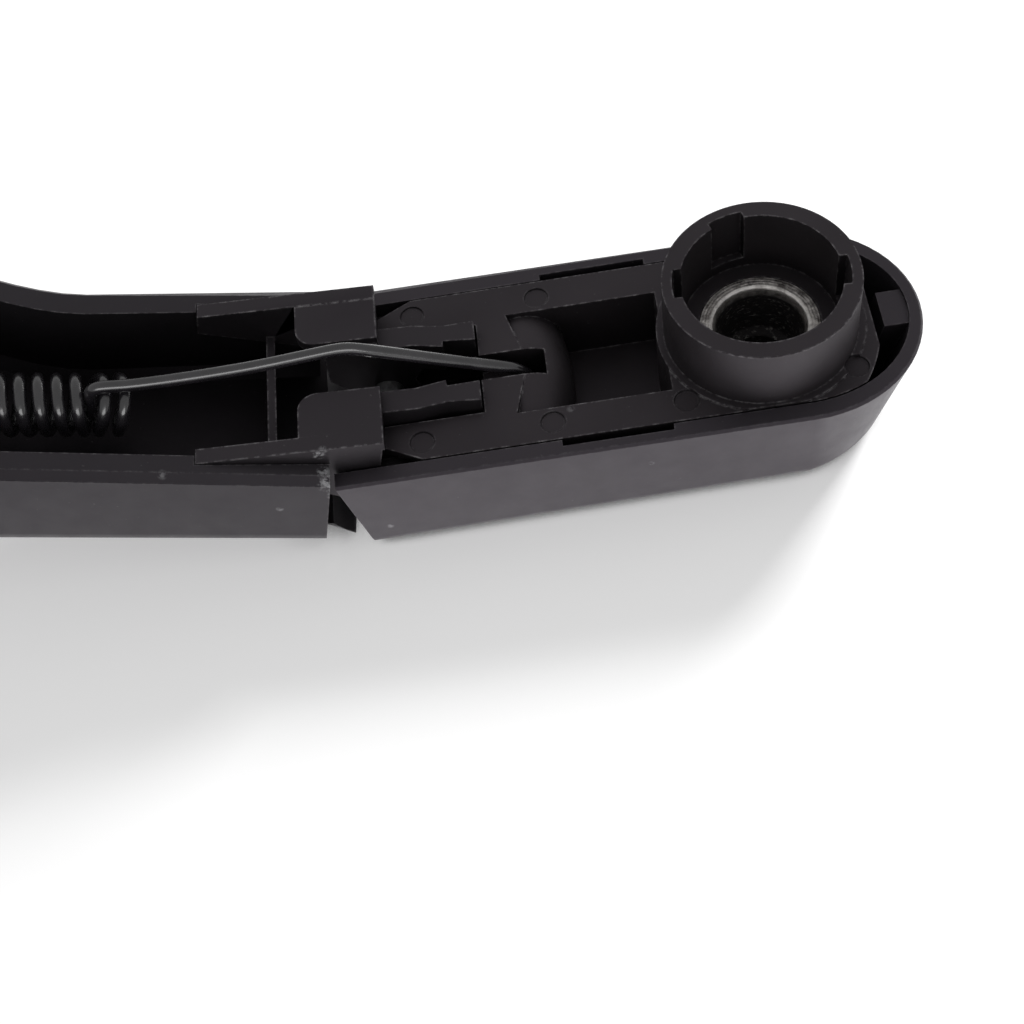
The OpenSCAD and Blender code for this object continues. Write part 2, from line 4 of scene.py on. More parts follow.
import bpy
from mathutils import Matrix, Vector

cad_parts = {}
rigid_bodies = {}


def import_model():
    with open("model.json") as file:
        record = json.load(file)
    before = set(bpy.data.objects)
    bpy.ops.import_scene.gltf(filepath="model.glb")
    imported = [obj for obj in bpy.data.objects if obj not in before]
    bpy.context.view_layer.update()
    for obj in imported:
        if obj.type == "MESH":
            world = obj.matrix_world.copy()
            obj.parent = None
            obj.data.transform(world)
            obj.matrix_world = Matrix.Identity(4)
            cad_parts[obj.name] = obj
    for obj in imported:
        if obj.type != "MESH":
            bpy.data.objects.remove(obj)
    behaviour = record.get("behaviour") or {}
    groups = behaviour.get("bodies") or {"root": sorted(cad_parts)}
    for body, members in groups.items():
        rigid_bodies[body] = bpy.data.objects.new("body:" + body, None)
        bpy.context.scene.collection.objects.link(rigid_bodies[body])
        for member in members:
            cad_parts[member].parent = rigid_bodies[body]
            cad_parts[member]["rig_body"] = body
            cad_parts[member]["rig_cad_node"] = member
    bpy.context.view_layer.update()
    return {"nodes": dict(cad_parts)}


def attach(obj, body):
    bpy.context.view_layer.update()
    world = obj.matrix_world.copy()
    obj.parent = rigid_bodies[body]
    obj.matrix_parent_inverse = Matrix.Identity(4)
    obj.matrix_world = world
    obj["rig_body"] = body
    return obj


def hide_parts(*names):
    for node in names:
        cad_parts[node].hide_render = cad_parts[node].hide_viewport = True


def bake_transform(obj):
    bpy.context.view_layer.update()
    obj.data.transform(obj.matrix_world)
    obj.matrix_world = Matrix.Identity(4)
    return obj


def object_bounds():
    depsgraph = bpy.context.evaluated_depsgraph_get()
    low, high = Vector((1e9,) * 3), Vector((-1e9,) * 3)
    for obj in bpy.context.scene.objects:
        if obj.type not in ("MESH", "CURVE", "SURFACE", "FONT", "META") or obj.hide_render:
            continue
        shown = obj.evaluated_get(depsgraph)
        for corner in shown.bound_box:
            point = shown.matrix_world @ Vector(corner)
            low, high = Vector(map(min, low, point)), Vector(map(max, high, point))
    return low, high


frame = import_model()
mm = 0.001
print("frame loaded:", len(frame["nodes"]), "nodes")


def newMaterial(name):
    material = bpy.data.materials.new(name)
    material.use_nodes = True
    material.node_tree.nodes.clear()
    return material


def add(tree, kind, **values):
    node = tree.nodes.new(kind)
    for key, value in values.items():
        setattr(node, key, value)
    return node


def wire(tree, start, end):
    tree.links.new(start, end)


def setInputs(node, **values):
    for key, value in values.items():
        node.inputs[key.replace("_", " ")].default_value = value
    return node


# Noise on the piece's own coordinates, with scale in features per metre
def noiseAt(tree, coords, scale, detail=3.0, rough=0.5, stretch=None):
    source = coords.outputs["Object"]
    if stretch:
        mapping = add(tree, "ShaderNodeMapping")
        mapping.inputs["Scale"].default_value = stretch
        wire(tree, source, mapping.inputs["Vector"])
        source = mapping.outputs["Vector"]
    noise = add(tree, "ShaderNodeTexNoise")
    setInputs(noise, Scale=scale, Detail=detail, Roughness=rough)
    wire(tree, source, noise.inputs["Vector"])
    return noise.outputs["Fac"]


# Maps source from low..high to fromValue..toValue, held at the ends
def ramp(tree, source, low, high, fromValue=0.0, toValue=1.0):
    node = add(tree, "ShaderNodeMapRange", clamp=True)
    for key, value in (("From Min", low), ("From Max", high), ("To Min", fromValue), ("To Max", toValue)):
        node.inputs[key].default_value = value
    wire(tree, source, node.inputs["Value"])
    return node.outputs["Result"]


def mathNode(tree, operation, first, second=None, clamp=False):
    node = add(tree, "ShaderNodeMath", operation=operation, use_clamp=clamp)
    for index, value in enumerate((first, second)):
        if value is None:
            continue
        if isinstance(value, (int, float)):
            node.inputs[index].default_value = value
        else:
            wire(tree, value, node.inputs[index])
    return node.outputs["Value"]


def mixColours(tree, factor, first, second):
    node = add(tree, "ShaderNodeMix", data_type="RGBA")
    for socket, value in ((node.inputs[0], factor), (node.inputs[6], first), (node.inputs[7], second)):
        if isinstance(value, (tuple, float, int)):
            socket.default_value = value
        else:
            wire(tree, value, socket)
    return node.outputs[2]


# 1 on edges that are tighter than radius, 0 on flats
def edgeMask(tree, radius, samples=6):
    bevel = add(tree, "ShaderNodeBevel", samples=samples)
    bevel.inputs["Radius"].default_value = radius
    geometry = add(tree, "ShaderNodeNewGeometry")
    dot = add(tree, "ShaderNodeVectorMath", operation="DOT_PRODUCT")
    wire(tree, bevel.outputs["Normal"], dot.inputs[0])
    wire(tree, geometry.outputs["Normal"], dot.inputs[1])
    return ramp(tree, dot.outputs["Value"], 1.0, 0.86)


# 1 out in the open and towards 0 deep in hollows, a mask that paints shade into the hollows
def cavityShade(tree, reach, low, high, least, local=False):
    cavity = add(tree, "ShaderNodeAmbientOcclusion", samples=8, only_local=local)
    cavity.inputs["Distance"].default_value = reach
    return ramp(tree, cavity.outputs["AO"], low, high, least, 1.0)


# 1 on faces that look up or down, and least on the piece's sides: a mask for painted shade on the sides
def sideShadeMask(tree, coords, least):
    split = add(tree, "ShaderNodeSeparateXYZ")
    wire(tree, coords.outputs["Normal"], split.inputs["Vector"])
    return ramp(tree, mathNode(tree, "ABSOLUTE", split.outputs["Z"]), 0.3, 0.8, least, 1.0)


# Height above the hinge axis square to the arm's back, in metres
def armHeight(tree, coords):
    turn = math.radians(armForm["restTilt"])
    hingeX, hingeZ = armForm["hinge"]
    dot = add(tree, "ShaderNodeVectorMath", operation="DOT_PRODUCT")
    wire(tree, coords.outputs["Object"], dot.inputs[0])
    dot.inputs[1].default_value = (math.sin(turn), 0, math.cos(turn))
    atHinge = (hingeX * math.sin(turn) + hingeZ * math.cos(turn)) * mm
    return mathNode(tree, "SUBTRACT", dot.outputs["Value"], atHinge)


# Thin outlines of round marks, with centres in millimetres
def outlineMask(tree, coords, centres, radius, width):
    total = None
    for centre in centres:
        offset = add(tree, "ShaderNodeVectorMath", operation="DISTANCE")
        wire(tree, coords.outputs["Object"], offset.inputs[0])
        offset.inputs[1].default_value = [c * mm for c in centre]
        off = mathNode(tree, "ABSOLUTE", mathNode(tree, "SUBTRACT", offset.outputs["Value"], radius * mm))
        line = ramp(tree, off, width * mm, 0.4 * width * mm)
        total = line if total is None else mathNode(tree, "MAXIMUM", total, line)
    return total


# Soft spots round the given centres, in millimetres
def spotMask(tree, coords, spots):
    total = None
    for centre, radius, strength in spots:
        offset = add(tree, "ShaderNodeVectorMath", operation="DISTANCE")
        wire(tree, coords.outputs["Object"], offset.inputs[0])
        offset.inputs[1].default_value = [c * mm for c in centre]
        spot = ramp(tree, offset.outputs["Value"], radius * mm, 0.35 * radius * mm, 0.0, strength)
        total = spot if total is None else mathNode(tree, "MAXIMUM", total, spot)
    return total


# The arm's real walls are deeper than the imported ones; they stretch below a line across the rib's top.
# The lip on its back follows an arc round the hinge, and its side edges reach out under the walls.
armForm = {"hinge": (-60.0, -8.0), "restTilt": 14.5, "line": 0.5, "stretch": 1.38,
           "fullTo": -80.0, "goneAt": -130.0, "lipStart": -10.4, "lipRadius": 12.3,
           "rootStart": -11.2, "rootBand": (-8.5, -5.0), "sideBand": (14.0, 15.2), "lipWiden": 1.15}
# Each look also sets how dark the painted shade gets in hollows, on the sides and down the channel
mouldLook = {
    "shell": {"colour": (0.0285, 0.0255, 0.0300), "rough": 0.50, "specular": 0.5, "grain": 0.018,
              "grainScale": 5200, "mottle": 0.12, "edge": 0.20, "specks": 0.60, "edgeRadius": 0.45,
              "paintedShade": 0.35, "reach": 14, "open": (0.15, 0.72), "local": False, "sides": 1.0},
    "channel": {"colour": (0.0318, 0.0292, 0.0328), "rough": 0.50, "specular": 0.25, "grain": 0.018,
                "grainScale": 5200, "mottle": 0.12, "edge": 0.20, "specks": 0.60, "edgeRadius": 0.45,
                "paintedShade": 0.0, "reach": 40, "open": (0.82, 0.96), "local": True, "sides": 0.84,
                "floorShade": (0.05, 0.48)},
    "bracket": {"colour": (0.0250, 0.0225, 0.0250), "rough": 0.52, "specular": 0.4, "grain": 0.020,
                "grainScale": 4600, "mottle": 0.14, "edge": 0.32, "specks": 0.60, "edgeRadius": 0.55,
                "paintedShade": 0.2, "reach": 14, "open": (0.15, 0.72), "local": False, "sides": 0.5},
    "head": {"colour": (0.0250, 0.0220, 0.0240), "rough": 0.48, "specular": 0.4, "grain": 0.022,
             "grainScale": 3600, "mottle": 0.28, "edge": 0.34, "specks": 0.60, "edgeRadius": 0.50,
             "paintedShade": 0.2, "reach": 14, "open": (0.15, 0.72), "local": False, "sides": 0.72},
}
# Round marks that the ejector pins left on the deck, in millimetres
deckMarks = {"centres": [(-34, -12.3, -0.4), (-34, 12.3, -0.4), (-54.3, -12.4, -0.4), (-54.3, 12.4, -0.4),
                         (-13.4, -12, -0.4), (12.9, -10.4, -0.4)],
             "radius": 1.9, "width": 0.2}
# Chalky knocks: centre and radius in millimetres, and strength
scuffs = {
    "channel": [((-68.9, -18.2, 1.0), 1.9, 1.0), ((-69.3, -17.0, 2.2), 1.3, 0.9),
                ((-68.7, -18.7, -1.6), 1.2, 0.7), ((-92.5, -16.8, 7.6), 0.9, 0.5),
                ((-77.5, -18.6, -3.5), 0.7, 0.5)],
    "bracket": [((-69.5, -15.2, 4.6), 1.2, 0.9), ((-68.6, -15.3, 5.6), 0.8, 0.6)],
    "shell": [((-62.0, -18.7, -13.0), 0.7, 0.45), ((-20.0, -18.7, -6.0), 0.6, 0.4)],
    "head": [((-31.0, -10.5, -0.3), 0.8, 0.3), ((14.0, 9.5, -0.3), 0.9, 0.3)],
}


# Black moulding with its own wear: rubbed edges, dust, nicks and knocks; and painted shade in hollows, down
# the channel and on the sides
def mouldedPlastic(name, kind):
    look = mouldLook[kind]
    material = newMaterial(name)
    tree = material.node_tree
    coords = add(tree, "ShaderNodeTexCoord")
    dark = tuple(c * (1 - look["mottle"]) for c in look["colour"]) + (1.0,)
    light = tuple(c * (1 + look["mottle"]) for c in look["colour"]) + (1.0,)
    patches = ramp(tree, noiseAt(tree, coords, 60, 4.0, 0.6), 0.3, 0.7)
    colour = mixColours(tree, patches, dark, light)
    # painted shade, darker in hollows; below, also darker down the channel and on the sides
    paintedShade = cavityShade(tree, look["reach"] * mm, *look["open"], look["paintedShade"], look["local"])
    # painted shade: darker down towards the arm's channel floor
    if look.get("floorShade"):
        inside = ramp(tree, armHeight(tree, coords), -4.5 * mm, 6.5 * mm, *look["floorShade"])
        paintedShade = mathNode(tree, "MAXIMUM", paintedShade, inside)
    # painted shade on the piece's sides
    if look["sides"] < 1:
        paintedShade = mathNode(tree, "MULTIPLY", paintedShade, sideShadeMask(tree, coords, look["sides"]))
    # mixes the painted shade in, towards near black
    colour = mixColours(tree, paintedShade, (0.0015, 0.0014, 0.0016, 1.0), colour)
    # rubbed edges, broken up so that they read as wear
    broken = ramp(tree, noiseAt(tree, coords, 900, 5.0, 0.7), 0.44, 0.70)
    edges = mathNode(tree, "MULTIPLY", edgeMask(tree, look["edgeRadius"] * mm), broken)
    edges = mathNode(tree, "MULTIPLY", edges, paintedShade)
    worn = (look["edge"], look["edge"] * 0.97, look["edge"], 1.0)
    colour = mixColours(tree, edges, colour, worn)
    if kind == "head":
        ringed = outlineMask(tree, coords, deckMarks["centres"], deckMarks["radius"], deckMarks["width"])
        ringed = mathNode(tree, "MULTIPLY", ringed, 0.8)
        colour = mixColours(tree, ringed, colour, (0.004, 0.0035, 0.004, 1.0))
    # dust and nicks
    specks = ramp(tree, noiseAt(tree, coords, 1500, 2.0, 0.5), look["specks"] + 0.13, look["specks"] + 0.18)
    colour = mixColours(tree, mathNode(tree, "MULTIPLY", specks, 0.35), colour, (0.13, 0.125, 0.125, 1.0))
    chalk = mathNode(tree, "MULTIPLY", spotMask(tree, coords, scuffs[kind]),
                     ramp(tree, noiseAt(tree, coords, 1100, 4.0, 0.7), 0.44, 0.58))
    colour = mixColours(tree, chalk, colour, (0.34, 0.34, 0.35, 1.0))
    shader = add(tree, "ShaderNodeBsdfPrincipled")
    wire(tree, colour, shader.inputs["Base Color"])
    roughness = ramp(tree, noiseAt(tree, coords, 240, 4.0, 0.6), 0.3, 0.7,
                     look["rough"] - 0.04, look["rough"] + 0.06)
    wire(tree, roughness, shader.inputs["Roughness"])
    shader.inputs["Specular IOR Level"].default_value = look["specular"]
    shader.inputs["Specular Tint"].default_value = (1.0, 0.88, 1.0, 1.0)
    grain = noiseAt(tree, coords, look["grainScale"], 2.0, 0.5)
    waves = noiseAt(tree, coords, 320, 3.0, 0.5)
    height = mathNode(tree, "ADD", mathNode(tree, "MULTIPLY", grain, look["grain"]),
                      mathNode(tree, "MULTIPLY", waves, 0.04))
    height = mathNode(tree, "ADD", height, mathNode(tree, "MULTIPLY", chalk, 0.06))
    bump = add(tree, "ShaderNodeBump")
    setInputs(bump, Strength=0.6, Distance=0.5 * mm)
    wire(tree, height, bump.inputs["Height"])
    wire(tree, bump.outputs["Normal"], shader.inputs["Normal"])
    output = add(tree, "ShaderNodeOutputMaterial")
    wire(tree, shader.outputs["BSDF"], output.inputs["Surface"])
    return material


# Drawn steel of the pins, dull with brighter edges
def wornSteel(name, colour, rough, dirt):
    material = newMaterial(name)
    tree = material.node_tree
    coords = add(tree, "ShaderNodeTexCoord")
    patches = ramp(tree, noiseAt(tree, coords, 420, 6.0, 0.7), 0.38, 0.66)
    tint = mixColours(tree, patches, dirt + (1.0,), colour + (1.0,))
    shine = mathNode(tree, "MULTIPLY", edgeMask(tree, 0.5 * mm), 0.9)
    tint = mixColours(tree, shine, tint, (0.75, 0.72, 0.68, 1.0))
    shader = add(tree, "ShaderNodeBsdfPrincipled")
    wire(tree, tint, shader.inputs["Base Color"])
    shader.inputs["Metallic"].default_value = 1.0
    roughness = ramp(tree, noiseAt(tree, coords, 700, 5.0, 0.6), 0.3, 0.7, rough - 0.12, rough + 0.2)
    wire(tree, roughness, shader.inputs["Roughness"])
    bump = add(tree, "ShaderNodeBump")
    setInputs(bump, Strength=0.5, Distance=0.2 * mm)
    wire(tree, noiseAt(tree, coords, 1600, 5.0, 0.7), bump.inputs["Height"])
    wire(tree, bump.outputs["Normal"], shader.inputs["Normal"])
    output = add(tree, "ShaderNodeOutputMaterial")
    wire(tree, shader.outputs["BSDF"], output.inputs["Surface"])
    return material


# Turned steel: a rubbed face and lip, and a bore with fine scratches round it, darker and less metallic with
# depth as painted shade
def ringSteel(name):
    material = newMaterial(name)
    tree = material.node_tree
    coords = add(tree, "ShaderNodeTexCoord")
    split = add(tree, "ShaderNodeSeparateXYZ")
    wire(tree, coords.outputs["Object"], split.inputs["Vector"])
    flat = add(tree, "ShaderNodeVectorMath", operation="MULTIPLY")
    wire(tree, coords.outputs["Object"], flat.inputs[0])
    flat.inputs[1].default_value = (1.0, 1.0, 0.0)
    reach = add(tree, "ShaderNodeVectorMath", operation="LENGTH")
    wire(tree, flat.outputs["Vector"], reach.inputs[0])
    patches = ramp(tree, noiseAt(tree, coords, 520, 6.0, 0.7), 0.36, 0.62)
    face = mixColours(tree, patches, (0.14, 0.125, 0.12, 1.0), (0.80, 0.76, 0.73, 1.0))
    # painted shade: the bore darkens with depth below the face, with real fine scratches over it
    depth = mathNode(tree, "MULTIPLY", split.outputs["Z"], -1.0)
    down = ramp(tree, depth, 0.5 * mm, 1.6 * mm)
    scratches = ramp(tree, noiseAt(tree, coords, 900, 4.0, 0.7, (1.0, 1.0, 3.0)), 0.56, 0.68)
    bore = mixColours(tree, scratches, (0.022, 0.019, 0.020, 1.0), (0.26, 0.25, 0.24, 1.0))
    tint = mixColours(tree, down, face, bore)
    lip = mathNode(tree, "MULTIPLY", ramp(tree, reach.outputs["Value"], 8.1 * mm, 7.6 * mm),
                   ramp(tree, depth, 0.9 * mm, 0.5 * mm))
    tint = mixColours(tree, mathNode(tree, "MULTIPLY", lip, ramp(tree, patches, 0.0, 1.0, 0.5, 1.0)),
                      tint, (0.86, 0.83, 0.80, 1.0))
    shader = add(tree, "ShaderNodeBsdfPrincipled")
    wire(tree, tint, shader.inputs["Base Color"])
    wire(tree, ramp(tree, down, 0.0, 1.0, 1.0, 0.45), shader.inputs["Metallic"])
    roughness = ramp(tree, noiseAt(tree, coords, 700, 5.0, 0.6), 0.3, 0.7, 0.26, 0.5)
    roughness = mathNode(tree, "ADD", roughness, mathNode(tree, "MULTIPLY", down, 0.28))
    wire(tree, roughness, shader.inputs["Roughness"])
    rings = add(tree, "ShaderNodeTexWave", wave_type="RINGS", rings_direction="Z")
    setInputs(rings, Scale=620.0, Distortion=2.5, Detail=3.0)
    wire(tree, coords.outputs["Object"], rings.inputs["Vector"])
    height = mathNode(tree, "ADD", mathNode(tree, "MULTIPLY", rings.outputs["Fac"], 0.25),
                      noiseAt(tree, coords, 1600, 5.0, 0.7))
    bump = add(tree, "ShaderNodeBump")
    setInputs(bump, Strength=0.45, Distance=0.2 * mm)
    wire(tree, height, bump.inputs["Height"])
    wire(tree, bump.outputs["Normal"], shader.inputs["Normal"])
    output = add(tree, "ShaderNodeOutputMaterial")
    wire(tree, shader.outputs["BSDF"], output.inputs["Surface"])
    return material


# Black coated wire, with a clear gloss over a softer base
def glossWire(name):
    material = newMaterial(name)
    tree = material.node_tree
    coords = add(tree, "ShaderNodeTexCoord")
    colour = mixColours(tree, ramp(tree, noiseAt(tree, coords, 300, 3.0), 0.4, 0.7),
                        (0.010, 0.009, 0.011, 1.0), (0.018, 0.016, 0.019, 1.0))
    shader = add(tree, "ShaderNodeBsdfPrincipled")
    wire(tree, colour, shader.inputs["Base Color"])
    roughness = ramp(tree, noiseAt(tree, coords, 900, 4.0), 0.35, 0.7, 0.24, 0.32)
    wire(tree, roughness, shader.inputs["Roughness"])
    shader.inputs["Specular IOR Level"].default_value = 0.7
    shader.inputs["Coat Weight"].default_value = 0.7
    shader.inputs["Coat Roughness"].default_value = 0.06
    bump = add(tree, "ShaderNodeBump")
    setInputs(bump, Strength=0.02, Distance=0.1 * mm)
    wire(tree, noiseAt(tree, coords, 1400, 3.0), bump.inputs["Height"])
    wire(tree, bump.outputs["Normal"], shader.inputs["Normal"])
    output = add(tree, "ShaderNodeOutputMaterial")
    wire(tree, shader.outputs["BSDF"], output.inputs["Surface"])
    return material


shellBlack = mouldedPlastic("shellBlack", "shell")
channelBlack = mouldedPlastic("channelBlack", "channel")
bracketBlack = mouldedPlastic("bracketBlack", "bracket")
headBlack = mouldedPlastic("headBlack", "head")
insertSteel = ringSteel("insertSteel")
pinSteel = wornSteel("pinSteel", (0.3, 0.3, 0.31), 0.42, (0.12, 0.12, 0.12))
wireBlack = glossWire("wireBlack")
print("materials made")


def makeActive(piece):
    bpy.ops.object.select_all(action="DESELECT")
    piece.select_set(True)
    bpy.context.view_layer.objects.active = piece


def applyModifier(piece, kind, **values):
    modifier = piece.modifiers.new(kind.lower(), kind)
    for key, value in values.items():
        setattr(modifier, key, value)
    bpy.ops.object.modifier_apply(modifier=modifier.name)


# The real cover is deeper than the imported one, and its round end leans inwards evenly with the depth.
# The open end gives way a little at its lower corner, where the arm's end swings past.
endForm = {"rim": -0.35, "cadDepth": 16.2, "depth": 18.0, "pull": 5.3, "start": -1.5, "tip": 25.0,
           "centre": 5.0, "straightDepth": 0.6, "hubRadius": 13.0, "openEnd": -62.0, "trim": 0.5}


def leanIn(x, y, depth):
    share = (x - endForm["start"]) / (endForm["tip"] - endForm["start"])
    if share <= 0 or depth <= 0:
        return x, y
    deep = max(0.0, min(depth, endForm["depth"]) - endForm["straightDepth"])
    pull = endForm["pull"] * share * deep / endForm["depth"]
    centreX = min(x, endForm["centre"])
    reach = max(math.hypot(x - centreX, y), 0.001)
    return x - (x - centreX) / reach * pull, y - y / reach * pull


def shapeCover(x, y, z):
    depth = endForm["rim"] - z
    if depth <= 0:
        return x, y, z
    depth *= endForm["depth"] / endForm["cadDepth"]
    if x < endForm["openEnd"]:
        x += endForm["trim"] * depth / endForm["depth"]
    x, y = leanIn(x, y, depth)
    return x, y, endForm["rim"] - depth


def shapeHead(x, y, z):
    if math.hypot(x, y) < endForm["hubRadius"]:
        return x, y, z
    x, y = leanIn(x, y, endForm["rim"] - z)
    return x, y, z


def shapeArm(x, y, z):
    turn = math.radians(armForm["restTilt"])
    hingeX, hingeZ = armForm["hinge"]
    along = (x - hingeX) * math.cos(turn) - (z - hingeZ) * math.sin(turn)
    up = (x - hingeX) * math.sin(turn) + (z - hingeZ) * math.cos(turn)
    if up >= armForm["line"]:
        return x, y, z
    share = (along - armForm["goneAt"]) / (armForm["fullTo"] - armForm["goneAt"])
    share = max(0.0, min(1.0, share))
    share *= share * (3 - 2 * share)
    up -= (armForm["line"] - up) * (armForm["stretch"] - 1) * share
    onLip = along > armForm["lipStart"] and up > -armForm["lipRadius"]
    atRoot = along > armForm["rootStart"] and armForm["rootBand"][0] < up < armForm["rootBand"][1]
    if onLip:
        along = -math.sqrt(armForm["lipRadius"] ** 2 - up ** 2)
    if (onLip or atRoot) and armForm["sideBand"][0] < abs(y) < armForm["sideBand"][1]:
        y *= armForm["lipWiden"]
    return (hingeX + along * math.cos(turn) + up * math.sin(turn), y,
            hingeZ - along * math.sin(turn) + up * math.cos(turn))


# The far walls' outer faces stand out a little more towards the arm, from least at startX to most at fullX
farWall = {"least": 0.25, "more": 0.45, "startX": -10, "fullX": -80, "stopX": -120, "inside": 8}


def farOut(x):
    if x <= farWall["stopX"]:
        return 0.0
    share = max(0.0, min(1.0, (farWall["startX"] - x) / (farWall["startX"] - farWall["fullX"])))
    return farWall["least"] + farWall["more"] * share


def reshape(piece, form):
    thicker = form in (shapeCover, shapeArm)
    for vertex in piece.data.vertices:
        x, y, z = (c / mm for c in vertex.co)
        if thicker and y > farWall["inside"] and x < 0 and vertex.normal.y > 0.3:
            y += farOut(x)
        vertex.co = [c * mm for c in form(x, y, z)]


# A merged copy of a CAD node with its edges softened, which stands for that node
def finishPiece(node, name, body, material, bevel=0.25, segments=2, angle=28, form=None):
    source = frame["nodes"][node]
    piece = source.copy()
    piece.data = source.data.copy()
    piece.name = name
    piece.data.name = name
    piece.parent = None
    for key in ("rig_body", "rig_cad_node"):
        if key in piece:
            del piece[key]
    bpy.context.scene.collection.objects.link(piece)
    makeActive(piece)
    bpy.ops.object.mode_set(mode="EDIT")
    bpy.ops.mesh.select_all(action="SELECT")
    bpy.ops.mesh.remove_doubles(threshold=0.002 * mm)
    bpy.ops.mesh.dissolve_limited(angle_limit=math.radians(0.6))
    bpy.ops.object.mode_set(mode="OBJECT")
    if form:
        reshape(piece, form)
    applyModifier(piece, "BEVEL", width=bevel * mm, segments=segments, limit_method="ANGLE",
                  angle_limit=math.radians(angle), use_clamp_overlap=True, harden_normals=False)
    bpy.ops.object.shade_smooth_by_angle(angle=math.radians(32))
    applyModifier(piece, "WEIGHTED_NORMAL", keep_sharp=True, weight=80)
    piece.data.materials.clear()
    piece.data.materials.append(material)
    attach(piece, body)
    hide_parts(node)


# The insert is turned: outside, worn lip, taper, seat and the hole for the spindle's thread
insertForm = {"profile": [(9.43, -10.2), (9.43, -0.15), (9.28, 0.0), (7.75, 0.0), (7.5, -0.06), (7.3, -0.2),
                          (7.12, -0.45), (7.02, -0.8), (6.9, -1.3), (6.35, -5.0), (5.85, -8.05), (5.7, -8.2),
                          (4.25, -8.2), (4.1, -8.35), (4.1, -10.2)],
              "steps": 96}


def makeInsert():
    profile, steps = insertForm["profile"], insertForm["steps"]
    rows = len(profile)
    corners = []
    for step in range(steps):
        a = 2 * math.pi * step / steps
        corners += [(r * math.cos(a) * mm, r * math.sin(a) * mm, z * mm) for r, z in profile]
    faces = []
    for step in range(steps):
        here, there = step * rows, (step + 1) % steps * rows
        for row in range(rows):
            after = (row + 1) % rows
            faces.append((here + row, there + row, there + after, here + after))
    mesh = bpy.data.meshes.new("hubRing")
    mesh.from_pydata(corners, [], faces)
    piece = bpy.data.objects.new("hubRing", mesh)
    bpy.context.scene.collection.objects.link(piece)
    makeActive(piece)
    bpy.ops.object.mode_set(mode="EDIT")
    bpy.ops.mesh.select_all(action="SELECT")
    bpy.ops.mesh.normals_make_consistent(inside=False)
    bpy.ops.object.mode_set(mode="OBJECT")
    bpy.ops.object.shade_smooth_by_angle(angle=math.radians(35))
    piece.data.materials.append(insertSteel)
    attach(piece, "head")
    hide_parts("hub_insert")


finishPiece("head_cover", "coverShell", "cover", shellBlack, 0.28, form=shapeCover)
finishPiece("arm", "armChannel", "arm", channelBlack, 0.22, form=shapeArm)
finishPiece("hinge_bracket", "hingeBracket", "arm", bracketBlack, 0.22)
finishPiece("mounting_head", "headMoulding", "head", headBlack, 0.2, form=shapeHead)
makeInsert()
finishPiece("hinge_pin", "hingePin", "head", pinSteel, 0.3, 3)
finishPiece("blade_pin", "bladePin", "arm", pinSteel, 0.2, 3)
print("frame pieces finished")


# The coil's last turns lean over, and the wire that crosses the hinge hooks them.
# The coil and the hook are in the arm's own millimetres, the rest of the wire in the frame's.
spring = {
    "wire": 2.0, "coilRadius": 4.1, "pitch": 2.8, "coilEnd": 82.4, "rise": 1.6,
    "loopRadius": 4.3, "stepsPerTurn": 28,
    "evenTurns": 12.25, "endTurns": 14.6, "endPitch": 2.95, "endLean": 0.36,
    "hook": [(-46.9, -0.3, -0.6), (-46.9, -0.6, 1.6), (-46.8, -0.9, 4.2), (-46.6, -1.1, 6.0),
             (-46.2, -1.15, 7.0), (-45.3, -1.15, 7.6), (-44.0, -1.1, 7.75), (-42.0, -1.02, 7.85),
             (-40.0, -0.95, 8.05), (-34.5, -0.6, 8.75), (-26.9, -0.25, 10.25), (-22.0, -0.1, 11.5),
             (-17.8, 0.0, 12.78)],
    "over": [(-68.0, 9.4), (-65.5, 9.6), (-63.4, 9.5), (-61.5, 8.8), (-58.5, 7.4), (-52.0, 4.3), (-45.0, 1.0),
             (-40.0, -1.2), (-38.6, -2.0), (-37.4, -3.3), (-36.6, -5.0), (-36.2, -7.4), (-36.2, -10.0)],
}


# The arm's own millimetres to the frame's metres
def fromArm(point):
    turn = math.radians(armForm["restTilt"])
    hingeX, hingeZ = armForm["hinge"]
    return Vector(((hingeX + point[0] * math.cos(turn) + point[2] * math.sin(turn)) * mm, point[1] * mm,
                   (hingeZ - point[0] * math.sin(turn) + point[2] * math.cos(turn)) * mm))


def coilPoint(turns):
    a = math.radians(90 + 360 * turns)
    even = min(turns, spring["evenTurns"])
    extra = turns - even
    x = -spring["coilEnd"] + spring["pitch"] * even + spring["endPitch"] * extra
    lean = spring["endLean"] * min(1.0, extra / 0.5)
    return (x + lean * spring["coilRadius"] * math.sin(a), spring["coilRadius"] * math.cos(a),
            spring["rise"] + spring["coilRadius"] * math.sin(a))


def coilPath():
    postX = -spring["coilEnd"] - spring["loopRadius"] - 4.5
    loop = []
    for step in range(0, 261, 10):
        a = math.radians(50 + step)
        loop.append((postX + spring["loopRadius"] * math.cos(a), spring["loopRadius"] * math.sin(a),
                     spring["rise"]))
    lead = [(-spring["coilEnd"] - 2.8, -0.6, spring["rise"] + 1.2),
            (-spring["coilEnd"] - 1.2, 0.8, spring["rise"] + 3.2)]
    steps = int(spring["endTurns"] * spring["stepsPerTurn"])
    coil = [coilPoint(i / spring["stepsPerTurn"]) for i in range(steps + 1)]
    return [fromArm(p) for p in loop + lead + coil]


def hookPath():
    return [fromArm(p) for p in spring["hook"]] + [Vector((x * mm, 0, z * mm)) for x, z in spring["over"]]


